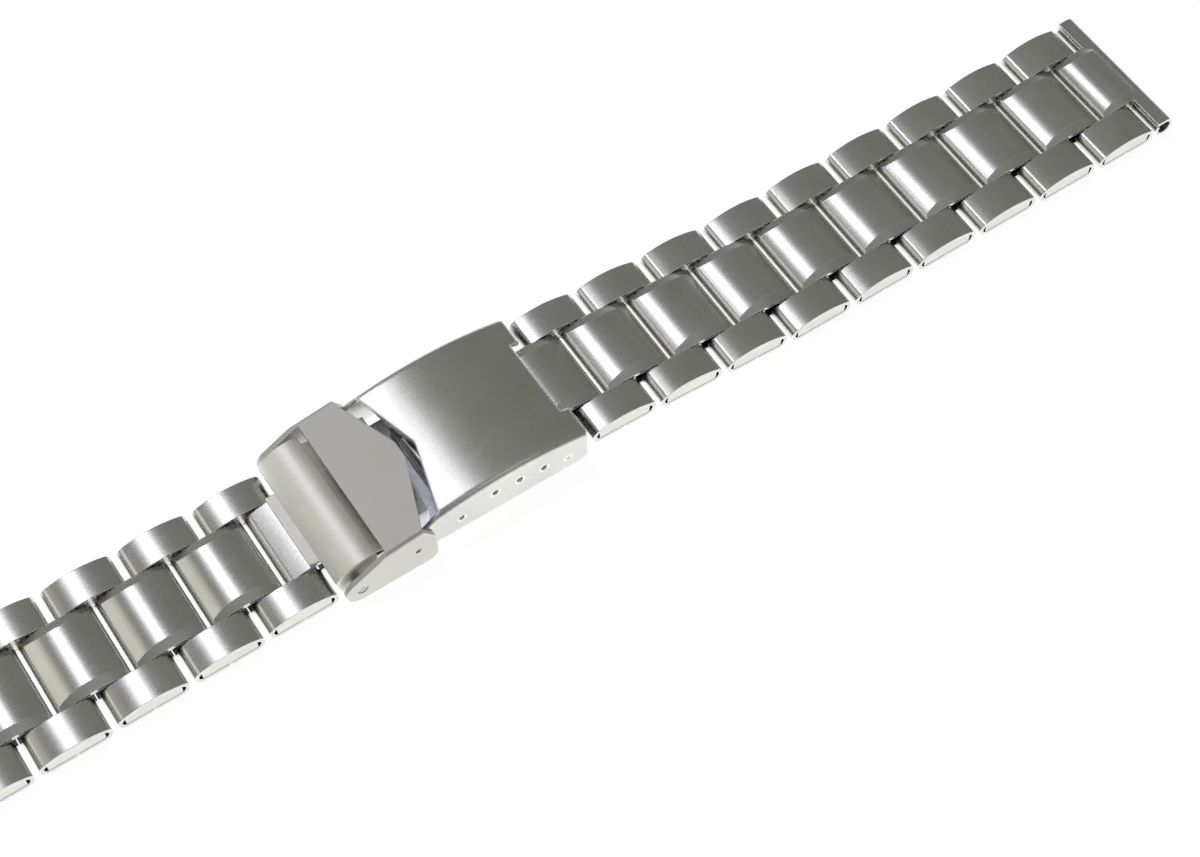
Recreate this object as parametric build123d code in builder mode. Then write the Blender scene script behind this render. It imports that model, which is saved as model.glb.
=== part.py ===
from build123d import *
from math import acos, asin, atan2, cos, degrees, hypot, radians, sin, sqrt
import os

# A folded-link watch bracelet with a fold-over clasp and a safety lock, in millimetres.
# X runs along the strap, Y across it and Z up. The origin is under the middle of the
# whole bracelet, on the surface that it lies on.

os.makedirs("parts", exist_ok=True)

# Strap links
pitch = 8.5
link_sheet = 0.45
bar_radius = 0.55
bar_clearance = 0.05
centre_gap = 0.30
outer_gap = 0.60
seam_gap = 0.15
link_side_gap = 0.15
centre_half_width = 4.5
centre_crest = 1.89
centre_edge_crest = 1.49
bevel_width = 1.05
bevel_end_drop = 0.25
outer_crest = 1.54
plate_clearance = 0.03
plate_side_inset = 0.05
plate_face_recess = 0.03
plate_end_inset = 0.40
clasp_end_half_width = 8.1
lug_end_half_width = 8.8
long_outer_count = 9
short_outer_count = 6

# End links, with the curled tube that takes the watch's spring bar
lug_bore_radius = 0.85
lug_sheet = 0.40
lug_curl_reach = 4.35
lug_wing_depth = 1.18
lug_curl_start_angle = 150
lug_curl_sweep_angle = 300
end_cavity_wall = 0.50
end_cavity_crest = 0.85

# First link of the short strap, under the clasp's end cap
first_short_span = 5.08
first_short_crest = 1.15

# Clasp blades, bent to one centre, with x measured from the middle of the clasp
blade_arc_radius = 50.0
blade_crown_z = 1.90
lower_blade_thickness = 0.70
upper_blade_thickness = 0.70
blade_gap = 0.08
blade_side_clearance = 0.90
upper_blade_side_step = 1.50
blade_hinge_x = 13.25
blade_hinge_height = 0.75
cover_hinge_x = -1.45
cover_hinge_height = 1.64
clasp_pin_radius = 0.35
clasp_pin_clearance = 0.04
seat_clearance = 0.01
knuckle_wall = 0.45
knuckle_gap = 0.10
barrel_half_width = 2.5
lower_knuckle_width = 2.4
cover_lug_width = 2.0
cover_lug_web_half = 0.60
pin_end_recess = 0.05
strap_lug_radius = 1.20
strap_lug_width = 0.60
blade_end_inset = 0.30
post_width = 1.60
post_length = 1.60
post_left_x = -5.75
post_top_z = 4.90

# Cover
cover_sheet = 0.60
cover_side_step = 0.40
cover_right_x = 13.85
cover_shoulder_x = -3.95
cover_wall_left_x = -6.05
cover_wall_lean = 0.20
cover_wall_top_z = 4.80
cover_wall_bottom_z = 1.50
cover_wall_corner = 0.90
cover_peak_x = 4.35
cover_peak_z = 7.155
cover_arc_radius = 36.0
cover_edge_radius = 0.80
v_notch_apex_x = -1.65
v_notch_round = 0.50
strap_notch_clearance = 0.25
strap_notch_depth = 1.00

# Spring bar that holds the long strap in the cover
spring_bar_x = 11.375
spring_bar_height = 2.85
hole_count = 4
hole_spacing = 2.93
tip_radius = 0.35
tip_hole_clearance = 0.05
tip_bore_clearance = 0.03
tip_shoulder_radius = 0.50
tip_shoulder_width = 0.30
tip_shoulder_gap = 0.10
tip_travel = 0.60
tip_shank_depth = 1.50
tip_nose_recess = 0.05
coil_radius = 0.24
coil_wire_radius = 0.07
coil_wire_sides = 8
coil_pitch = 0.70
coil_end_gap = 0.05

# Strap pin, safety lock and end cap
strap_pin_x = -13.60
strap_pin_z = 1.95
strap_pin_recess = 0.05
lock_left_x = -10.35
lock_corner_x = -6.35
lock_apex_x = -3.35
lock_left_z = 5.90
lock_apex_z = 6.90
lock_sheet = 0.60
lock_side_gap = 0.10
lock_apex_half_width = 1.0
lock_bend_radius = 0.50
ear_round_radius = 1.85
ear_right_x = -4.85
ear_right_top_z = 4.20
ear_bottom_z = 0.10
ear_corner_radius = 1.20
ear_hole_clearance = 0.07
dimple_x = -7.05
dimple_z = 3.30
dimple_radius = 0.35
dimple_depth = 0.20
cap_sheet = 0.60
cap_side_step = 0.50
cap_arc_radius = 4.05
cap_centre_x = -12.38
cap_centre_z = 1.30
cap_front_angle = 149
cap_back_angle = 71
cap_wall_bottom_z = 1.00
cap_wall_front_x = -15.30
lip_left_x = -16.90
lip_top_z = 3.30
lip_sheet = 0.45
lip_root_sheet = 0.20
ledge_right_x = -9.95
ledge_right_z = 4.28
ledge_sheet = 0.30
ledge_root_angle = 10

# Slope of the first long links as they leave the cover, in degrees, and the number of
# centre links after them over which the strap comes down to the table
cover_exit_slope = 3.0
fall_links = 3

# Reach of every cut past the solid that it cuts
overrun = 0.5

# Sizes that follow
bend_inner = bar_radius + bar_clearance
bend_outer = bend_inner + link_sheet
bar_offset = centre_gap / 2 + bend_outer
bar_span = 2 * bar_offset
centre_half_span = pitch / 2 - bar_offset
centre_span = 2 * centre_half_span
outer_half_span = (pitch - outer_gap) / 2 - bend_outer
cap_inner_y = centre_half_width + link_side_gap
lug_curl_outer = lug_bore_radius + lug_sheet
lug_curl_rise = lug_curl_outer - bend_outer
knuckle_radius = clasp_pin_radius + clasp_pin_clearance + knuckle_wall
knuckle_inner_y = barrel_half_width + knuckle_gap
cover_half_width = clasp_end_half_width + cover_side_step
cover_inner_y = cover_half_width - cover_sheet
cap_half_width = cover_half_width - cap_side_step
cap_wall_inner_y = cap_half_width - cap_sheet
lower_blade_half_width = cap_wall_inner_y - blade_side_clearance
upper_blade_half_width = lower_blade_half_width - upper_blade_side_step
lock_half_width = cover_half_width + lock_side_gap + lock_sheet
hole_radius = tip_radius + tip_hole_clearance
arc_centre_z = blade_crown_z - blade_arc_radius


def arc_z(x, height):
    """Height above the table of a point on the blades' curve, height outside its inner face."""
    return arc_centre_z + sqrt((blade_arc_radius + height) ** 2 - x**2)


def cover_top_z(x, depth=0):
    """Height above the table of the cover's arch, depth inside its outer face."""
    radius = cover_arc_radius - depth
    return cover_peak_z - cover_arc_radius + sqrt(radius**2 - (x - cover_peak_x) ** 2)


spring_bar_z = arc_z(spring_bar_x, spring_bar_height)
blade_hinge_z = arc_z(blade_hinge_x, blade_hinge_height)
cover_hinge_z = arc_z(cover_hinge_x, cover_hinge_height)

# How the strap lies: spans and slopes of the links one after another, outwards from the clasp
exit_drop = (centre_span + bar_span) * sin(radians(cover_exit_slope))
fall_span = fall_links * centre_span + (fall_links - 1) * bar_span
long_fall = degrees(asin((spring_bar_z - bend_outer - exit_drop) / fall_span))
short_fall = degrees(asin((strap_pin_z - bend_outer) / first_short_span))
long_names = ["centre_link_long_0"]
short_names = ["centre_link_short_0"]
for number in range(1, long_outer_count + 1):
    long_names.append(f"outer_long_{number}")
    if number < long_outer_count:
        long_names.append(f"centre_link_long_{number}")
for number in range(1, short_outer_count + 1):
    short_names.append(f"outer_short_{number}")
    if number < short_outer_count:
        short_names.append(f"centre_link_short_{number}")
long_spans = [bar_span if "outer" in name else centre_span for name in long_names]
short_spans = [bar_span if "outer" in name else centre_span for name in short_names]
short_spans[0] = first_short_span
falling = 2 * fall_links - 1
long_slopes = [cover_exit_slope] * 2 + [long_fall] * falling + [0] * (len(long_names) - 2 - falling)
short_slopes = [short_fall] + [0] * (len(short_names) - 1)


def strand_reach(spans, slopes):
    """Level length of a strand, from its clasp hinge to the far end of its end link."""
    links = sum(span * cos(radians(slope)) for span, slope in zip(spans, slopes))
    return links + lug_curl_reach + lug_curl_outer


long_reach = strand_reach(long_spans, long_slopes)
short_reach = strand_reach(short_spans, short_slopes)
clasp_x = (short_reach - strap_pin_x - spring_bar_x - long_reach) / 2


def lay_strand(start_x, start_z, way, spans, slopes):
    """Side planes at each link's middle, and the hinge points: way is 1 right, -1 left."""
    planes = []
    hinges = [(start_x, start_z)]
    x = start_x
    z = start_z
    for span, slope in zip(spans, slopes):
        run = way * cos(radians(slope))
        rise = -sin(radians(slope))
        middle = (x + run * span / 2, 0, z + rise * span / 2)
        planes.append(Plane(origin=middle, x_dir=(run, 0, rise), z_dir=(0, -way, 0)))
        x = x + run * span
        z = z + rise * span
        hinges.append((x, z))
    planes.append(Plane(origin=(x, 0, z), x_dir=(way, 0, 0), z_dir=(0, -way, 0)))
    return planes, hinges


long_planes, long_hinges = lay_strand(
    clasp_x + spring_bar_x, spring_bar_z, 1, long_spans, long_slopes
)
short_planes, short_hinges = lay_strand(
    clasp_x + strap_pin_x, strap_pin_z, -1, short_spans, short_slopes
)
clasp_side = Plane(origin=(clasp_x, 0, 0), x_dir=(1, 0, 0), z_dir=(0, -1, 0))
clasp_plan = Plane(origin=(clasp_x, 0, 0), x_dir=(1, 0, 0), z_dir=(0, 0, 1))


def write(solid, name):
    """Label a finished piece and write it under its name."""
    solid.label = name
    export_step(solid, f"parts/{name}.step")


def half_width_at(number, count):
    """Half-width of an outer link: the strap widens evenly from the clasp to the lugs."""
    taper = lug_end_half_width - clasp_end_half_width
    return clasp_end_half_width + taper * (number - 1) / (count - 1)


def arch_of(half_span, bend, crest):
    """Radius of a link's top arch, and the point where it runs into the end bend."""
    arch = (half_span**2 + crest**2 - bend**2) / (2 * (crest - bend))
    touch_x = arch * half_span / (arch - bend)
    touch_z = crest - arch + arch * (arch - crest) / (arch - bend)
    return arch, touch_x, touch_z


def draw_outline(half_span, bend, crest, middle=0):
    """Closed side outline of a link: flat below, bent round both ends, arched on top."""
    arch, touch_x, touch_z = arch_of(half_span, bend, crest)
    end_x = half_span + bend
    left_touch = (middle - touch_x, touch_z)
    right_touch = (middle + touch_x, touch_z)
    right_foot = (middle + half_span, -bend)
    left_foot = (middle - half_span, -bend)
    ThreePointArc(left_touch, (middle, crest), right_touch)
    ThreePointArc(right_touch, (middle + end_x, 0), right_foot)
    Line(right_foot, left_foot)
    ThreePointArc(left_foot, (middle - end_x, 0), left_touch)


def bevel_region(half_span, middle=0):
    """Closed outline of what the side bevel takes off, above the low arch of the edge."""
    arch, touch_x, touch_z = arch_of(half_span, bend_outer, centre_crest)
    top = centre_crest + overrun
    low = touch_z - bevel_end_drop
    reach = half_span + bend_outer + overrun
    ThreePointArc((middle - touch_x, low), (middle, centre_edge_crest), (middle + touch_x, low))
    Polyline(
        (middle + touch_x, low),
        (middle + reach, low),
        (middle + reach, top),
        (middle - reach, top),
        (middle - reach, low),
        (middle - touch_x, low),
    )


def bevel_direction(side, way):
    """Direction that runs inwards from a side face and up the bevel."""
    rise = (centre_crest - centre_edge_crest) / bevel_width
    return side.y_dir * rise - side.z_dir * way


def make_centre_link(name, side, half_span, crest, bevelled=True):
    """A centre link: a sheet folded round its two bars, with its seam underneath."""
    cavity_crest = (centre_edge_crest if bevelled else crest) - link_sheet
    with BuildPart() as link:
        with BuildSketch(side):
            with BuildLine():
                draw_outline(half_span, bend_outer, crest)
            make_face()
        extrude(amount=centre_half_width, both=True)
        if bevelled:
            for way in (1, -1):
                with BuildSketch(side.offset(way * centre_half_width)):
                    with BuildLine():
                        bevel_region(half_span)
                    make_face()
                extrude(
                    amount=2 * bevel_width,
                    dir=bevel_direction(side, way),
                    mode=Mode.SUBTRACT,
                )
        with BuildSketch(side):
            with BuildLine():
                draw_outline(half_span, bend_inner, cavity_crest)
            make_face()
            with Locations((0, -(bend_inner + bend_outer) / 2)):
                Rectangle(seam_gap, link_sheet + 2 * bar_clearance)
        extrude(amount=centre_half_width + overrun, both=True, mode=Mode.SUBTRACT)
    write(link.part, name)


def make_outer_caps(name, side, half_width):
    """The pair of outer shells of one link, near and far, each folded round its plate."""
    with BuildPart() as caps:
        for way in (1, -1):
            with BuildSketch(side.offset(way * cap_inner_y)):
                with BuildLine():
                    draw_outline(outer_half_span, bend_outer, outer_crest)
                make_face()
                with BuildLine():
                    draw_outline(outer_half_span, bend_inner, outer_crest - link_sheet)
                make_face(mode=Mode.SUBTRACT)
                with Locations((0, -(bend_inner + bend_outer) / 2)):
                    Rectangle(seam_gap, link_sheet + overrun, mode=Mode.SUBTRACT)
            extrude(amount=way * (half_width - cap_inner_y))
    write(caps.part, name)


def make_bridge_plate(name, side, half_width):
    """The inner plates of one outer link, joined by the two bars that cross the centre."""
    start = cap_inner_y + plate_side_inset
    end = half_width - plate_face_recess
    plate_bend = bend_inner - plate_clearance
    plate_crest = outer_crest - link_sheet - plate_clearance
    plate_half_length = outer_half_span + bend_inner - plate_end_inset
    with BuildPart() as plate:
        for way in (1, -1):
            with BuildSketch(side.offset(way * start)):
                with BuildLine():
                    draw_outline(outer_half_span, plate_bend, plate_crest)
                make_face()
                Rectangle(2 * plate_half_length, 2 * outer_crest, mode=Mode.INTERSECT)
            extrude(amount=way * (end - start))
        with BuildSketch(side):
            with Locations((-bar_offset, 0), (bar_offset, 0)):
                Circle(bar_radius)
        extrude(amount=end, both=True)
    write(plate.part, name)


def make_end_link(name, side, half_width):
    """The link next to the watch, with the curled tube for the watch's spring bar."""
    right_circle = lug_curl_reach + lug_curl_outer - bend_outer
    middle = right_circle / 2
    cavity_half_span = (lug_curl_reach - lug_curl_outer - end_cavity_wall - bend_inner) / 2
    cavity_left = lug_curl_reach - lug_wing_depth
    with BuildPart() as link:
        with BuildSketch(side):
            with BuildLine():
                draw_outline(middle, bend_outer, centre_crest, middle)
            make_face()
        extrude(amount=centre_half_width, both=True)
        for way in (1, -1):
            with BuildSketch(side.offset(way * centre_half_width)):
                with BuildLine():
                    bevel_region(middle, middle)
                make_face()
            extrude(
                amount=2 * bevel_width,
                dir=bevel_direction(side, way),
                mode=Mode.SUBTRACT,
            )
        with BuildSketch(side):
            with BuildLine():
                draw_outline(cavity_half_span, bend_inner, end_cavity_crest, cavity_half_span)
            make_face()
            with Locations((cavity_half_span, -(bend_inner + bend_outer) / 2)):
                Rectangle(seam_gap, link_sheet + 2 * bar_clearance)
        extrude(amount=centre_half_width + overrun, both=True, mode=Mode.SUBTRACT)
        with BuildSketch(side):
            with BuildLine():
                curl = CenterArc(
                    (lug_curl_reach, lug_curl_rise),
                    lug_curl_outer,
                    lug_curl_start_angle,
                    lug_curl_sweep_angle,
                )
                Line(curl @ 1, (lug_curl_reach, lug_curl_rise))
                Line((lug_curl_reach, lug_curl_rise), curl @ 0)
            make_face()
            with Locations((lug_curl_reach, lug_curl_rise + lug_curl_outer)):
                Rectangle(lug_wing_depth, lug_sheet, align=(Align.MAX, Align.MAX))
        extrude(amount=half_width, both=True)
        with BuildSketch(side):
            with Locations((lug_curl_reach, lug_curl_rise)):
                Circle(lug_bore_radius)
        extrude(amount=half_width + overrun, both=True, mode=Mode.SUBTRACT)
    write(link.part, name)


def make_strand(kind, names, planes, count):
    """All links of one strand; kind is long or short."""
    for name, side in zip(names, planes):
        number = int(name.rsplit("_", 1)[1])
        if "outer" in name:
            half_width = half_width_at(number, count)
            make_outer_caps(f"outer_caps_{kind}_{number}", side, half_width)
            make_bridge_plate(f"bridge_plate_{kind}_{number}", side, half_width)
        elif name == "centre_link_short_0":
            make_centre_link(name, side, first_short_span / 2, first_short_crest, bevelled=False)
        else:
            make_centre_link(name, side, centre_half_span, centre_crest)
    make_end_link(f"end_link_{kind}", planes[-1], lug_end_half_width)


make_strand("long", long_names, long_planes, long_outer_count)
make_strand("short", short_names, short_planes, short_outer_count)


def draw_blade_band(left, right, low, high):
    """Closed side outline of a bent blade between two heights outside the blades' curve."""
    middle = (left + right) / 2
    ThreePointArc((left, arc_z(left, low)), (middle, arc_z(middle, low)), (right, arc_z(right, low)))
    Line((right, arc_z(right, low)), (right, arc_z(right, high)))
    ThreePointArc(
        (right, arc_z(right, high)), (middle, arc_z(middle, high)), (left, arc_z(left, high))
    )
    Line((left, arc_z(left, high)), (left, arc_z(left, low)))


# Lower blade: the bent base plate, its hinge knuckles, its strap lugs and two catch posts
blade_clear = knuckle_radius + knuckle_gap
lower_left_x = strap_pin_x + blade_end_inset
lower_mid_height = lower_blade_thickness / 2
lower_knuckle_outer_y = knuckle_inner_y + lower_knuckle_width
with BuildPart() as lower_blade:
    with BuildSketch(clasp_side):
        with BuildLine():
            draw_blade_band(lower_left_x, blade_hinge_x, 0, lower_blade_thickness)
        make_face()
    extrude(amount=lower_blade_half_width, both=True)
    with BuildSketch(clasp_side):
        with Locations((blade_hinge_x - blade_clear, blade_hinge_z)):
            Rectangle(
                2 * blade_clear, 2 * blade_clear, align=(Align.MIN, Align.CENTER)
            )
    extrude(amount=knuckle_inner_y, both=True, mode=Mode.SUBTRACT)
    for way in (1, -1):
        with BuildSketch(clasp_side.offset(way * knuckle_inner_y)):
            with Locations((blade_hinge_x, blade_hinge_z)):
                Circle(knuckle_radius)
        extrude(amount=way * lower_knuckle_width)
        with BuildSketch(clasp_side.offset(way * (lower_blade_half_width - strap_lug_width))):
            with Locations((strap_pin_x, strap_pin_z)):
                Circle(strap_lug_radius)
            with BuildLine():
                Polyline(
                    (lower_left_x, arc_z(lower_left_x, lower_mid_height)),
                    (
                        strap_pin_x + 2 * strap_lug_radius,
                        arc_z(strap_pin_x + 2 * strap_lug_radius, lower_mid_height),
                    ),
                    (strap_pin_x + strap_lug_radius, strap_pin_z),
                    (strap_pin_x, strap_pin_z),
                    close=True,
                )
            make_face()
        extrude(amount=way * strap_lug_width)
        with BuildSketch(clasp_side.offset(way * (lower_blade_half_width - post_width))):
            with BuildLine():
                Polyline(
                    (post_left_x, arc_z(post_left_x, lower_mid_height)),
                    (post_left_x + post_length, arc_z(post_left_x + post_length, lower_mid_height)),
                    (post_left_x + post_length, post_top_z),
                    (post_left_x, post_top_z),
                    close=True,
                )
            make_face()
        extrude(amount=way * post_width)
    with BuildSketch(clasp_side):
        with Locations((blade_hinge_x, blade_hinge_z)):
            Circle(clasp_pin_radius + seat_clearance)
    extrude(amount=lower_knuckle_outer_y, both=True, mode=Mode.SUBTRACT)
    with BuildSketch(clasp_side):
        with Locations((strap_pin_x, strap_pin_z)):
            Circle(bar_radius + seat_clearance)
    extrude(amount=lower_blade_half_width + overrun, both=True, mode=Mode.SUBTRACT)
write(lower_blade.part, "lower_blade")

# Upper blade: a bent plate with a barrel at each end
upper_low = lower_blade_thickness + blade_gap
upper_high = upper_low + upper_blade_thickness
with BuildPart() as upper_blade:
    with BuildSketch(clasp_side):
        with BuildLine():
            draw_blade_band(
                cover_hinge_x + blade_clear, blade_hinge_x - blade_clear, upper_low, upper_high
            )
        make_face()
    extrude(amount=upper_blade_half_width, both=True)
    with BuildSketch(clasp_side):
        with BuildLine():
            draw_blade_band(cover_hinge_x, blade_hinge_x, upper_low, upper_high)
        make_face()
        with Locations((cover_hinge_x, cover_hinge_z), (blade_hinge_x, blade_hinge_z)):
            Circle(knuckle_radius)
    extrude(amount=barrel_half_width, both=True)
    with BuildSketch(clasp_side):
        with Locations((cover_hinge_x, cover_hinge_z), (blade_hinge_x, blade_hinge_z)):
            Circle(clasp_pin_radius + clasp_pin_clearance)
    extrude(amount=barrel_half_width + overrun, both=True, mode=Mode.SUBTRACT)
write(upper_blade.part, "upper_blade")

# Cover: an arched channel with a row of spring bar holes and two hinge lugs inside
cover_lug_outer_y = knuckle_inner_y + cover_lug_width
with BuildPart() as cover:
    with BuildSketch(clasp_side) as cover_side:
        with BuildLine():
            Polyline(
                (cover_shoulder_x, cover_top_z(cover_shoulder_x)),
                (cover_wall_left_x + cover_wall_lean, cover_wall_top_z),
                (cover_wall_left_x, cover_wall_bottom_z),
                (cover_right_x, cover_wall_bottom_z),
                (cover_right_x, cover_top_z(cover_right_x)),
            )
            ThreePointArc(
                (cover_right_x, cover_top_z(cover_right_x)),
                (cover_peak_x, cover_peak_z),
                (cover_shoulder_x, cover_top_z(cover_shoulder_x)),
            )
        make_face()
        fillet(cover_side.vertices().group_by(Axis.Y)[0], cover_wall_corner)
    extrude(amount=cover_half_width, both=True)
    long_edges = cover.faces().filter_by(GeomType.CYLINDER).sort_by(SortBy.AREA)[-1].edges()
    fillet(long_edges.filter_by(GeomType.CIRCLE), cover_edge_radius)
    with BuildSketch(clasp_side):
        with BuildLine():
            inner_left = cover_wall_left_x - overrun
            inner_right = cover_right_x + overrun
            inner_left_z = cover_top_z(inner_left, cover_sheet)
            inner_right_z = cover_top_z(inner_right, cover_sheet)
            Polyline(
                (inner_left, inner_left_z),
                (inner_left, 0),
                (inner_right, 0),
                (inner_right, inner_right_z),
            )
            ThreePointArc(
                (inner_right, inner_right_z),
                (cover_peak_x, cover_peak_z - cover_sheet),
                (inner_left, inner_left_z),
            )
        make_face()
    extrude(amount=cover_inner_y, both=True, mode=Mode.SUBTRACT)
    with BuildSketch(clasp_plan) as v_notch:
        with BuildLine():
            v_slant = (v_notch_apex_x - cover_shoulder_x) / cover_half_width
            v_side_x = v_notch_apex_x - v_slant * cover_inner_y
            Polyline(
                (v_notch_apex_x, 0),
                (v_side_x, cover_inner_y),
                (cover_wall_left_x - overrun, cover_inner_y),
                (cover_wall_left_x - overrun, -cover_inner_y),
                (v_side_x, -cover_inner_y),
                close=True,
            )
        make_face()
        fillet(v_notch.vertices().sort_by(Axis.X)[-1], v_notch_round)
        with Locations((cover_right_x - strap_notch_depth, 0)):
            Rectangle(
                strap_notch_depth + overrun,
                2 * (centre_half_width + strap_notch_clearance),
                align=(Align.MIN, Align.CENTER),
            )
    extrude(amount=cover_peak_z + overrun, mode=Mode.SUBTRACT)
    for way in (1, -1):
        with BuildSketch(clasp_side.offset(way * knuckle_inner_y)):
            with Locations((cover_hinge_x, cover_hinge_z)):
                Circle(knuckle_radius)
                Rectangle(
                    2 * cover_lug_web_half,
                    cover_top_z(cover_hinge_x) - cover_sheet / 2 - cover_hinge_z,
                    align=(Align.CENTER, Align.MIN),
                )
        extrude(amount=way * cover_lug_width)
    with BuildSketch(clasp_side):
        with Locations((cover_hinge_x, cover_hinge_z)):
            Circle(clasp_pin_radius + seat_clearance)
        for hole in range(hole_count):
            hole_x = spring_bar_x - hole * hole_spacing
            with Locations((hole_x, arc_z(hole_x, spring_bar_height))):
                Circle(hole_radius)
    extrude(amount=cover_half_width + overrun, both=True, mode=Mode.SUBTRACT)
write(cover.part, "cover")

# Hinge pins of the blades and the cover
with BuildPart() as blade_hinge_pin:
    with BuildSketch(clasp_side):
        with Locations((blade_hinge_x, blade_hinge_z)):
            Circle(clasp_pin_radius)
    extrude(amount=lower_knuckle_outer_y - pin_end_recess, both=True)
write(blade_hinge_pin.part, "blade_hinge_pin")

with BuildPart() as cover_hinge_pin:
    with BuildSketch(clasp_side):
        with Locations((cover_hinge_x, cover_hinge_z)):
            Circle(clasp_pin_radius)
    extrude(amount=cover_lug_outer_y - pin_end_recess, both=True)
write(cover_hinge_pin.part, "cover_hinge_pin")

# Spring bar: a tube, two tips that slide in it, and the coil spring between them
shoulder_outer_y = cover_inner_y - tip_shoulder_gap
shoulder_inner_y = shoulder_outer_y - tip_shoulder_width
tube_end_y = shoulder_inner_y - tip_travel - tip_shoulder_gap
shank_inner_y = tube_end_y - tip_shank_depth
nose_y = cover_half_width - tip_nose_recess
with BuildPart() as spring_bar_tube:
    with BuildSketch(clasp_side):
        with Locations((spring_bar_x, spring_bar_z)):
            Circle(bar_radius)
            Circle(tip_radius + tip_bore_clearance, mode=Mode.SUBTRACT)
    extrude(amount=tube_end_y, both=True)
write(spring_bar_tube.part, "spring_bar_tube")

for tip_name, way in (("spring_bar_tip_near", 1), ("spring_bar_tip_far", -1)):
    with BuildPart() as tip:
        with BuildSketch(clasp_side.offset(way * shank_inner_y)):
            with Locations((spring_bar_x, spring_bar_z)):
                Circle(tip_radius)
        extrude(amount=way * (nose_y - shank_inner_y))
        with BuildSketch(clasp_side.offset(way * shoulder_inner_y)):
            with Locations((spring_bar_x, spring_bar_z)):
                Circle(tip_shoulder_radius)
        extrude(amount=way * tip_shoulder_width)
    write(tip.part, tip_name)

coil_half_length = shank_inner_y - coil_end_gap - coil_wire_radius
coil_start = (clasp_x + spring_bar_x, -coil_half_length, spring_bar_z)
with BuildPart() as coil_spring:
    with BuildLine() as coil_path:
        Helix(coil_pitch, 2 * coil_half_length, coil_radius, center=coil_start, direction=(0, 1, 0))
    coil_section = Plane(origin=coil_path.line @ 0, z_dir=coil_path.line % 0)
    with BuildSketch(coil_section):
        RegularPolygon(coil_wire_radius, coil_wire_sides)
    sweep(is_frenet=True)
write(coil_spring.part, "spring_bar_spring")

# Strap pin: the clasp's end cap, its lower blade, the safety lock and the short strap meet here
with BuildPart() as strap_pin:
    with BuildSketch(clasp_side):
        with Locations((strap_pin_x, strap_pin_z)):
            Circle(bar_radius)
    extrude(amount=lock_half_width - strap_pin_recess, both=True)
write(strap_pin.part, "strap_pin")

# Safety lock: a pointed plate with an ear down each side, hooked over the cover's walls
lock_slope = (lock_apex_z - lock_left_z) / (lock_apex_x - lock_left_x)
lock_corner_z = lock_left_z + lock_slope * (lock_corner_x - lock_left_x)
tangent_angle = atan2(lock_left_z - strap_pin_z, lock_left_x - strap_pin_x) + acos(
    ear_round_radius / hypot(lock_left_z - strap_pin_z, lock_left_x - strap_pin_x)
)
ear_touch = (
    strap_pin_x + ear_round_radius * cos(tangent_angle),
    strap_pin_z + ear_round_radius * sin(tangent_angle),
)
ear_foot = (strap_pin_x, strap_pin_z - ear_round_radius)
with BuildPart() as safety_lock:
    with BuildSketch(clasp_side):
        with BuildLine():
            Polyline(
                (lock_left_x, lock_left_z),
                (lock_apex_x, lock_apex_z),
                (lock_apex_x, lock_apex_z - lock_sheet),
                (lock_left_x, lock_left_z - lock_sheet),
                close=True,
            )
        make_face()
    extrude(amount=lock_half_width, both=True)
    with BuildSketch(clasp_plan):
        with BuildLine():
            Polyline(
                (lock_left_x, lock_half_width),
                (lock_corner_x, lock_half_width),
                (lock_apex_x, lock_apex_half_width),
                (lock_apex_x, -lock_apex_half_width),
                (lock_corner_x, -lock_half_width),
                (lock_left_x, -lock_half_width),
                close=True,
            )
        make_face()
    extrude(amount=lock_apex_z + overrun, mode=Mode.INTERSECT)
    for way in (1, -1):
        with BuildSketch(clasp_side.offset(way * (lock_half_width - lock_sheet))) as ear:
            with BuildLine():
                Polyline(
                    ear_touch,
                    (lock_left_x, lock_left_z),
                    (lock_corner_x, lock_corner_z),
                    (ear_right_x, ear_right_top_z),
                    (ear_right_x, ear_bottom_z),
                    ear_foot,
                )
                ThreePointArc(ear_foot, (strap_pin_x - ear_round_radius, strap_pin_z), ear_touch)
            make_face()
            fillet(ear.vertices().group_by(Axis.X)[-1], ear_corner_radius)
        extrude(amount=way * lock_sheet)
    flap_edges = safety_lock.faces().sort_by(SortBy.AREA)[-1].edges().group_by(Axis.Y)
    fillet(flap_edges[0] + flap_edges[-1], lock_bend_radius)
    for way in (1, -1):
        with BuildSketch(clasp_side.offset(way * lock_half_width)):
            with Locations((dimple_x, dimple_z)):
                Circle(dimple_radius)
        extrude(amount=-way * dimple_depth, mode=Mode.SUBTRACT)
    with BuildSketch(clasp_side):
        with Locations((strap_pin_x, strap_pin_z)):
            Circle(bar_radius + ear_hole_clearance)
    extrude(amount=lock_half_width + overrun, both=True, mode=Mode.SUBTRACT)
write(safety_lock.part, "safety_lock")

# End cap: a rounded hood over the strap pin, with a lip above the first short link and a
# ledge under the safety lock
cap_inner_radius = cap_arc_radius - cap_sheet
cap_middle_radius = cap_arc_radius - cap_sheet / 2
cap_sweep = cap_front_angle - cap_back_angle
cap_right_x = cap_centre_x + cap_arc_radius * cos(radians(cap_back_angle))


def cap_point(radius, angle):
    """Point of the end cap's side outline at a radius and an angle about its centre."""
    return (cap_centre_x + radius * cos(radians(angle)), cap_centre_z + radius * sin(radians(angle)))


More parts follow.
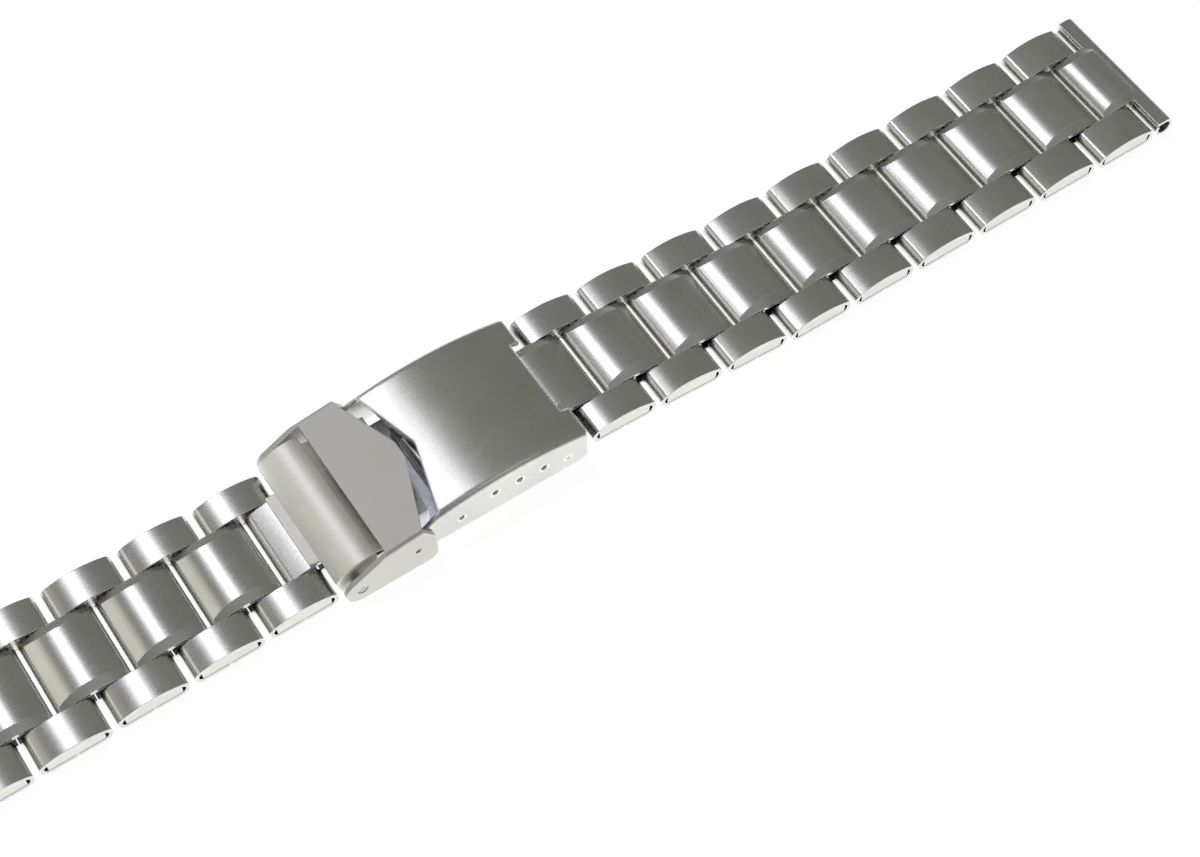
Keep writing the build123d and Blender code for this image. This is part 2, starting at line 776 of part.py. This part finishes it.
ledge_root = cap_point(cap_inner_radius, cap_back_angle + ledge_root_angle)
lip_root_x = cap_point(cap_inner_radius, cap_front_angle)[0]
with BuildPart() as end_cap:
    with BuildSketch(clasp_side):
        with BuildLine():
            outer_arc = CenterArc(
                (cap_centre_x, cap_centre_z), cap_arc_radius, cap_back_angle, cap_sweep
            )
            inner_arc = CenterArc(
                (cap_centre_x, cap_centre_z), cap_inner_radius, cap_back_angle, cap_sweep
            )
            Line(outer_arc @ 0, inner_arc @ 0)
            Line(outer_arc @ 1, inner_arc @ 1)
        make_face()
    extrude(amount=cap_half_width, both=True)
    for way in (1, -1):
        with BuildSketch(clasp_side.offset(way * cap_wall_inner_y)):
            with BuildLine():
                wall_arc = CenterArc(
                    (cap_centre_x, cap_centre_z), cap_arc_radius, cap_back_angle, cap_sweep
                )
                Polyline(
                    wall_arc @ 1,
                    (cap_wall_front_x, cap_wall_bottom_z),
                    (cap_right_x, cap_wall_bottom_z),
                    wall_arc @ 0,
                )
            make_face()
        extrude(amount=way * cap_sheet)
    with BuildSketch(clasp_side):
        with BuildLine():
            Polyline(
                (lip_left_x, lip_top_z),
                (lip_left_x, lip_top_z - lip_sheet),
                (lip_root_x, lip_top_z - lip_root_sheet),
                (lip_root_x, lip_top_z),
                close=True,
            )
        make_face()
    extrude(amount=centre_half_width, both=True)
    with BuildSketch(clasp_side):
        with BuildLine():
            Polyline(
                cap_point(cap_middle_radius, cap_back_angle + ledge_root_angle),
                cap_point(cap_inner_radius, cap_back_angle),
                (ledge_right_x, ledge_right_z),
                (ledge_right_x, ledge_right_z - ledge_sheet),
                (ledge_root[0], ledge_root[1] - ledge_sheet),
                close=True,
            )
        make_face()
    extrude(amount=cap_wall_inner_y, both=True)
    with BuildSketch(clasp_side):
        with Locations((strap_pin_x, strap_pin_z)):
            Circle(bar_radius + seat_clearance)
    extrude(amount=cap_half_width + overrun, both=True, mode=Mode.SUBTRACT)
write(end_cap.part, "end_cap")
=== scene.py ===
"""A steel link bracelet with a fold-over clasp, lying closed on a white studio floor."""

import bmesh
import bpy
from mathutils import Matrix, Vector


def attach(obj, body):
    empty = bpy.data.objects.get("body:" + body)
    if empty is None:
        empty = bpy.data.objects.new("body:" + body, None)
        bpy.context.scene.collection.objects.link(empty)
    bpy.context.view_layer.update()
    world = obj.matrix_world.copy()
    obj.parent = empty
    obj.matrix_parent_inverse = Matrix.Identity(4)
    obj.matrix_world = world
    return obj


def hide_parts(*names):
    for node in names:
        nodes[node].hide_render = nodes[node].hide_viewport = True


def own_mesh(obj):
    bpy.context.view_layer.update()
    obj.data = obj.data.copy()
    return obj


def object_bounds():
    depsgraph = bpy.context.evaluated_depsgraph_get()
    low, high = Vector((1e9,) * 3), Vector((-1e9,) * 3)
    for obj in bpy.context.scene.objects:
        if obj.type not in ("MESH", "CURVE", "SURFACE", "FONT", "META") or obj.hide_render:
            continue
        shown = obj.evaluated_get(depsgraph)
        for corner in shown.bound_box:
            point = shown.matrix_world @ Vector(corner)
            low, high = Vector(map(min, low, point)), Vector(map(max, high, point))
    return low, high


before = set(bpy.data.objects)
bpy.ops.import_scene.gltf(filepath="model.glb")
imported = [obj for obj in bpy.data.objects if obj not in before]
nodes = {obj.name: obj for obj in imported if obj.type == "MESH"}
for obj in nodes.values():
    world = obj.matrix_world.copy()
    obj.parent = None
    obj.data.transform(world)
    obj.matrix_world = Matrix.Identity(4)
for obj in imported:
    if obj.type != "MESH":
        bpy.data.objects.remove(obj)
cad_low, cad_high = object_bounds()

# Lengths, in metres
mm = 0.001
floor_gap = 0.002 * mm
floor_half_side = 3.0
edge_radius = 0.12 * mm
cover_edge_radius = 0.45 * mm
relief = 0.01 * mm

# Noise in cycles per metre: along the strap, across it, and upwards
fine_streaks = (2600, 30000, 30000)
broad_streaks = (500, 9000, 9000)
streak_clouds = (190, 190, 190)
grain_clouds = (260, 260, 260)

# Shifts that keep the noises of one material apart
no_shift = (0, 0, 0)
broad_shift = (3, 1, 2)
streak_cloud_shift = (5, 8, 2)
grain_cloud_shift = (2, 4, 9)

# Brushing runs along the strap, slightly askew so that no face stands square to it
brush_direction = (1.0, 0.03, 0.02)
brush_anisotropy = 0.5
quarter_turn = 0.25

# Worn edges with a painted highlight: the mask fades in between these two cosines, where a face
# meets its rounded edge
edge_starts = 0.998
edge_is_full = 0.975
edge_samples = 6
# Edge colours: partly the lighter metal of worn edges, partly a painted highlight along them
edge_wear_and_painted_highlight = (0.97, 0.97, 0.99, 1)
satin_edge_wear_and_painted_highlight = (0.92, 0.92, 0.92, 1)

# Sockets of a colour mix
mix_share, mix_first, mix_second = 0, 6, 7
mix_result = 2

# The floor: its own grey, its glow for the viewer, and its glow in the metal
floor_grey = (0.62, 0.62, 0.62, 1)
floor_white = (1, 1, 1, 1)
floor_seen_glow = 0.80
floor_mirrored_glow = 1.15

# The room's colours by height, from the horizon at 0 to straight up at 1
room_stops = (
    (0.0, (0.75, 0.75, 0.75, 1)),
    (1.0, (0.32, 0.325, 0.30, 1)),
    (0.04, (0.75, 0.75, 0.75, 1)),
    (0.14, (0.20, 0.205, 0.20, 1)),
    (0.30, (0.22, 0.225, 0.205, 1)),
    (0.48, (0.27, 0.275, 0.25, 1)),
    (0.66, (0.245, 0.25, 0.225, 1)),
)

# The camera
camera_place = (-63.08, -104.71, 204.92)
camera_right = (0.83124, -0.55586, 0.00768)
camera_down = (-0.47642, -0.71941, -0.50544)
focal_pixels = 2260.5
image_width = 1200
sensor_width = 36.0
nearest_seen = 0.005
farthest_seen = 20.0


# Nodes of a material

class Graph:
    """Short calls that add nodes to one material and link them."""

    def __init__(self, name):
        self.material = bpy.data.materials.new(name)
        self.material.use_nodes = True
        self.tree = self.material.node_tree
        self.tree.nodes.clear()

    def add(self, kind, **settings):
        """A new shader node of this kind, with its settings."""
        node = self.tree.nodes.new("ShaderNode" + kind)
        for key, value in settings.items():
            setattr(node, key, value)
        return node

    def put(self, value, socket):
        """A socket gets a link from another socket, or a constant."""
        if isinstance(value, bpy.types.NodeSocket):
            self.tree.links.new(value, socket)
        else:
            socket.default_value = value

    def noise(self, scale, detail, roughness, shift=no_shift):
        """Noise in the object's own coordinates; scale is cycles per metre along X, Y and Z."""
        place = self.add("TexCoord")
        mapping = self.add("Mapping")
        self.put(place.outputs["Object"], mapping.inputs["Vector"])
        self.put(scale, mapping.inputs["Scale"])
        self.put(shift, mapping.inputs["Location"])
        node = self.add("TexNoise", noise_dimensions="3D")
        self.put(mapping.outputs["Vector"], node.inputs["Vector"])
        self.put(1.0, node.inputs["Scale"])
        self.put(detail, node.inputs["Detail"])
        self.put(roughness, node.inputs["Roughness"])
        return node.outputs["Fac"]

    def math(self, operation, *values):
        """The result of one operation on values or sockets."""
        node = self.add("Math", operation=operation)
        for value, socket in zip(values, node.inputs):
            self.put(value, socket)
        return node.outputs["Value"]

    def weigh(self, first, first_share, second, second_share):
        """The sum of two values, each times its share."""
        return self.math(
            "ADD",
            self.math("MULTIPLY", first, first_share),
            self.math("MULTIPLY", second, second_share),
        )

    def less(self, value, mask, amount):
        """The value, lowered by the amount where the mask is 1."""
        return self.math("SUBTRACT", value, self.math("MULTIPLY", mask, amount))

    def span(self, value, low, high, new_low, new_high):
        """Value from low..high mapped to new_low..new_high, and kept inside it."""
        node = self.add("MapRange", clamp=True)
        for one, socket in zip((value, low, high, new_low, new_high), node.inputs):
            self.put(one, socket)
        return node.outputs["Result"]

    def blend(self, share, first, second):
        """A colour between first and second."""
        node = self.add("Mix", data_type="RGBA")
        self.put(share, node.inputs[mix_share])
        self.put(first, node.inputs[mix_first])
        self.put(second, node.inputs[mix_second])
        return node.outputs[mix_result]

    def edge(self, radius):
        """Rounded normal at sharp edges, and a mask that is 1 on them and 0 elsewhere."""
        bevel = self.add("Bevel", samples=edge_samples)
        self.put(radius, bevel.inputs["Radius"])
        geometry = self.add("NewGeometry")
        dot = self.add("VectorMath", operation="DOT_PRODUCT")
        self.put(bevel.outputs["Normal"], dot.inputs[0])
        self.put(geometry.outputs["Normal"], dot.inputs[1])
        mask = self.span(dot.outputs["Value"], edge_starts, edge_is_full, 0.0, 1.0)
        return bevel.outputs["Normal"], mask

    def bump(self, height, strength, normal):
        """The normal, tilted by the height of a fine relief."""
        node = self.add("Bump")
        self.put(strength, node.inputs["Strength"])
        self.put(relief, node.inputs["Distance"])
        self.put(height, node.inputs["Height"])
        self.put(normal, node.inputs["Normal"])
        return node.outputs["Normal"]

    def metal(self, colour, roughness, normal, brushed=False):
        """The surface: bare metal, brushed along the object's X axis or plain."""
        shader = self.add("BsdfPrincipled")
        shader.inputs["Metallic"].default_value = 1.0
        self.put(colour, shader.inputs["Base Color"])
        self.put(roughness, shader.inputs["Roughness"])
        self.put(normal, shader.inputs["Normal"])
        if brushed:
            along = self.add("VectorTransform", vector_type="VECTOR")
            along.convert_from = "OBJECT"
            along.convert_to = "WORLD"
            along.inputs["Vector"].default_value = brush_direction
            self.put(along.outputs["Vector"], shader.inputs["Tangent"])
            shader.inputs["Anisotropic"].default_value = brush_anisotropy
            shader.inputs["Anisotropic Rotation"].default_value = quarter_turn
        out = self.add("OutputMaterial")
        self.put(shader.outputs["BSDF"], out.inputs["Surface"])
        return self.material


def finer_across(scale, factor):
    """The scale of a noise, this much finer across the strap and upwards."""
    along, across, upwards = scale
    return along, across * factor, upwards * factor


def brushed_steel(name, dark, light, roughness, fineness=1.0, rounding=edge_radius):
    """Steel brushed along X: short fine streaks, faint clouds, and bright edges that are partly
    worn metal and partly a painted highlight.
    """
    graph = Graph(name)
    fine = graph.noise(finer_across(fine_streaks, fineness), detail=3.0, roughness=0.6)
    broad = graph.noise(
        finer_across(broad_streaks, fineness), detail=2.0, roughness=0.5, shift=broad_shift
    )
    cloud = graph.noise(streak_clouds, detail=3.0, roughness=0.5, shift=streak_cloud_shift)
    streaks = graph.weigh(fine, 0.7, broad, 0.3)
    tone = graph.weigh(streaks, 0.6, cloud, 0.4)
    normal, edge = graph.edge(rounding)
    colour = graph.blend(graph.span(tone, 0.30, 0.70, 0.0, 1.0), dark, light)
    # Edges lightened: partly worn metal, partly a painted highlight
    colour = graph.blend(graph.math("MULTIPLY", edge, 0.85), colour, edge_wear_and_painted_highlight)
    rough = graph.span(streaks, 0.30, 0.70, roughness - 0.05, roughness + 0.07)
    rough = graph.less(rough, edge, 0.10)
    normal = graph.bump(streaks, 0.16, normal)
    return graph.metal(colour, rough, normal, brushed=True)


def grained_steel(name, dark, light, roughness, grain, depth, stretch=(1.0, 1.0, 1.0)):
    """Steel with an even fine grain, blasted or satin; grain is its size in metres."""
    graph = Graph(name)
    fine = graph.noise(tuple(one / grain for one in stretch), detail=3.0, roughness=0.55)
    cloud = graph.noise(grain_clouds, detail=4.0, roughness=0.6, shift=grain_cloud_shift)
    normal, edge = graph.edge(edge_radius)
    tone = graph.weigh(fine, 0.6, cloud, 0.4)
    colour = graph.blend(graph.span(tone, 0.32, 0.68, 0.0, 1.0), dark, light)
    # Edges lightened: partly worn metal, partly a painted highlight
    colour = graph.blend(graph.math("MULTIPLY", edge, 0.6), colour, satin_edge_wear_and_painted_highlight)
    rough = graph.span(tone, 0.32, 0.68, roughness - 0.04, roughness + 0.05)
    rough = graph.less(rough, edge, 0.12)
    normal = graph.bump(fine, depth, normal)
    return graph.metal(colour, rough, normal)


def paint(material, *names):
    """The named CAD nodes get this material in every slot."""
    for name in names:
        mesh = nodes[name].data
        if not mesh.materials:
            mesh.materials.append(material)
        for index in range(len(mesh.materials)):
            mesh.materials[index] = material


def finish_pieces():
    """Every CAD node keeps its shape and gets the finish of the real piece; the strap pin is
    darkened with painted shade, and edges get a painted highlight.
    """
    links = [name for name in nodes if name.startswith(("centre_link", "outer_caps", "end_link"))]
    plates = [name for name in nodes if name.startswith("bridge_plate")]
    link_steel = brushed_steel(
        "brushed_steel",
        dark=(0.50, 0.50, 0.465, 1),
        light=(0.66, 0.66, 0.635, 1),
        roughness=0.27,
    )
    cover_steel = brushed_steel(
        "cover_steel",
        dark=(0.50, 0.50, 0.46, 1),
        light=(0.64, 0.64, 0.61, 1),
        roughness=0.27,
        fineness=1.1,
        rounding=cover_edge_radius,
    )
    satin_steel = grained_steel(
        "satin_steel",
        dark=(0.56, 0.552, 0.51, 1),
        light=(0.65, 0.64, 0.595, 1),
        roughness=0.55,
        grain=0.08 * mm,
        depth=0.2,
    )
    blasted_steel = grained_steel(
        "blasted_steel",
        dark=(0.78, 0.775, 0.72, 1),
        light=(0.97, 0.96, 0.90, 1),
        roughness=0.50,
        grain=0.12 * mm,
        depth=0.6,
    )
    blade_steel = grained_steel(
        "blade_steel",
        dark=(0.44, 0.46, 0.50, 1),
        light=(0.60, 0.62, 0.65, 1),
        roughness=0.24,
        grain=0.09 * mm,
        depth=0.2,
        stretch=(0.15, 1.0, 1.0),
    )
    plate_steel = grained_steel(
        "plate_steel",
        dark=(0.52, 0.50, 0.47, 1),
        light=(0.70, 0.68, 0.64, 1),
        roughness=0.34,
        grain=0.06 * mm,
        depth=0.3,
    )
    pin_steel = grained_steel(
        "pin_steel",
        dark=(0.55, 0.56, 0.58, 1),
        light=(0.72, 0.73, 0.75, 1),
        roughness=0.16,
        grain=0.05 * mm,
        depth=0.12,
    )
    # The strap pin is painted darker than the other pins: painted shade of the hole it sits in, in
    # the lock's ear
    strap_pin_painted_shade = grained_steel(
        "strap_pin_painted_shade",
        dark=(0.26, 0.27, 0.29, 1),
        light=(0.42, 0.43, 0.45, 1),
        roughness=0.22,
        grain=0.05 * mm,
        depth=0.12,
    )
    paint(link_steel, *links)
    paint(cover_steel, "cover")
    paint(satin_steel, "safety_lock")
    paint(blasted_steel, "end_cap")
    paint(blade_steel, "lower_blade", "upper_blade")
    paint(plate_steel, *plates)
    paint(pin_steel, "blade_hinge_pin", "cover_hinge_pin", "spring_bar_tube")
    paint(pin_steel, "spring_bar_tip_near", "spring_bar_tip_far", "spring_bar_spring")
    paint(strap_pin_painted_shade, "strap_pin")


def make_spring_half(name, side):
    """Half of the bar's coil spring, cut across at y = 0 and attached to the cover's body."""
    source = nodes["spring_bar_spring"]
    mesh = source.data.copy()
    work = bmesh.new()
    work.from_mesh(mesh)
    everything = work.verts[:] + work.edges[:] + work.faces[:]
    cut = bmesh.ops.bisect_plane(
        work, geom=everything, plane_co=(0, 0, 0), plane_no=(0, side, 0), clear_inner=True
    )
    rim = [part for part in cut["geom_cut"] if isinstance(part, bmesh.types.BMEdge)]
    bmesh.ops.holes_fill(work, edges=rim)
    work.to_mesh(mesh)
    work.free()
    half = bpy.data.objects.new(name, mesh)
    bpy.context.scene.collection.objects.link(half)
    half.matrix_world = source.matrix_world.copy()
    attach(half, "cover")
    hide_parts("spring_bar_spring")
    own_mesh(half)


# Studio

def make_floor():
    """A white table top that keeps a faint shadow."""
    half = floor_half_side
    mesh = bpy.data.meshes.new("floor")
    z = cad_low[2] - floor_gap
    corners = [(-half, -half, z), (half, -half, z), (half, half, z), (-half, half, z)]
    mesh.from_pydata(corners, [], [(0, 1, 2, 3)])
    floor = bpy.data.objects.new("floor", mesh)
    bpy.context.scene.collection.objects.link(floor)
    graph = Graph("floor_white")
    diffuse = graph.add("BsdfDiffuse")
    diffuse.inputs["Color"].default_value = floor_grey
    glow = graph.add("Emission")
    glow.inputs["Color"].default_value = floor_white
    path = graph.add("LightPath")
    seen = graph.math("MAXIMUM", path.outputs["Is Camera Ray"], path.outputs["Is Transmission Ray"])
    mirrored = path.outputs["Is Glossy Ray"]
    strength = graph.weigh(seen, floor_seen_glow, mirrored, floor_mirrored_glow)
    graph.put(strength, glow.inputs["Strength"])
    both = graph.add("AddShader")
    graph.put(diffuse.outputs["BSDF"], both.inputs[0])
    graph.put(glow.outputs["Emission"], both.inputs[1])
    out = graph.add("OutputMaterial")
    graph.put(both.outputs["Shader"], out.inputs["Surface"])
    mesh.materials.append(graph.material)


def make_world():
    """A room that is pale at the horizon and a dim grey above."""
    world = bpy.data.worlds.new("room")
    bpy.context.scene.world = world
    world.use_nodes = True
    tree = world.node_tree
    tree.nodes.clear()
    place = tree.nodes.new("ShaderNodeTexCoord")
    split = tree.nodes.new("ShaderNodeSeparateXYZ")
    ramp = tree.nodes.new("ShaderNodeValToRGB")
    stops = ramp.color_ramp.elements
    first_stop, last_stop, *between = room_stops
    for stop, (position, colour) in zip(tuple(stops), (first_stop, last_stop)):
        stop.position = position
        stop.color = colour
    for position, colour in between:
        stop = stops.new(position)
        stop.color = colour
    background = tree.nodes.new("ShaderNodeBackground")
    out = tree.nodes.new("ShaderNodeOutputWorld")
    tree.links.new(place.outputs["Generated"], split.inputs["Vector"])
    tree.links.new(split.outputs["Z"], ramp.inputs["Fac"])
    tree.links.new(ramp.outputs["Color"], background.inputs["Color"])
    tree.links.new(background.outputs["Background"], out.inputs["Surface"])


def make_lamp(name, towards, distance, width, depth, power, colour):
    """A soft box in the given direction from the object, facing it."""
    light = bpy.data.lights.new(name, "AREA")
    light.shape = "RECTANGLE"
    light.size = width
    light.size_y = depth
    light.energy = power
    light.color = colour
    lamp = bpy.data.objects.new(name, light)
    bpy.context.scene.collection.objects.link(lamp)
    direction = Vector(towards).normalized()
    lamp.location = direction * distance
    lamp.rotation_mode = "QUATERNION"
    lamp.rotation_quaternion = direction.to_track_quat("Z", "Y")


def make_lamps():
    """A white box above, a cool one on the near side and a warm one low behind the short strand."""
    make_lamp(
        "soft_box",
        towards=(-0.063, 0.17, 0.35),
        distance=0.395,
        width=0.095,
        depth=0.22,
        power=0.23,
        colour=(0.90, 0.89, 1.0),
    )
    make_lamp(
        "cool_box",
        towards=(0.15, -0.60, 0.78),
        distance=0.42,
        width=0.20,
        depth=0.08,
        power=0.05,
        colour=(0.80, 0.85, 1.0),
    )
    make_lamp(
        "warm_box",
        towards=(-0.72, 0.46, 0.53),
        distance=0.45,
        width=0.16,
        depth=0.22,
        power=0.11,
        colour=(1.0, 0.97, 0.88),
    )


def make_camera():
    """The viewpoint: from the near side, about 59 degrees above the table."""
    place = Vector(camera_place) * mm
    right = Vector(camera_right)
    down = Vector(camera_down)
    forward = right.cross(down)
    data = bpy.data.cameras.new("camera")
    data.sensor_fit = "HORIZONTAL"
    data.sensor_width = sensor_width
    data.lens = focal_pixels * data.sensor_width / image_width
    data.clip_start = nearest_seen
    data.clip_end = farthest_seen
    camera = bpy.data.objects.new("camera", data)
    turn = Matrix((right, -down, -forward)).transposed()
    camera.matrix_world = Matrix.Translation(place) @ turn.to_4x4()
    bpy.context.scene.collection.objects.link(camera)
    bpy.context.scene.camera = camera


finish_pieces()
make_spring_half("spring_near_half", -1)
make_spring_half("spring_far_half", 1)
make_floor()
make_world()
make_lamps()
make_camera()
bpy.context.scene.view_settings.view_transform = "Standard"
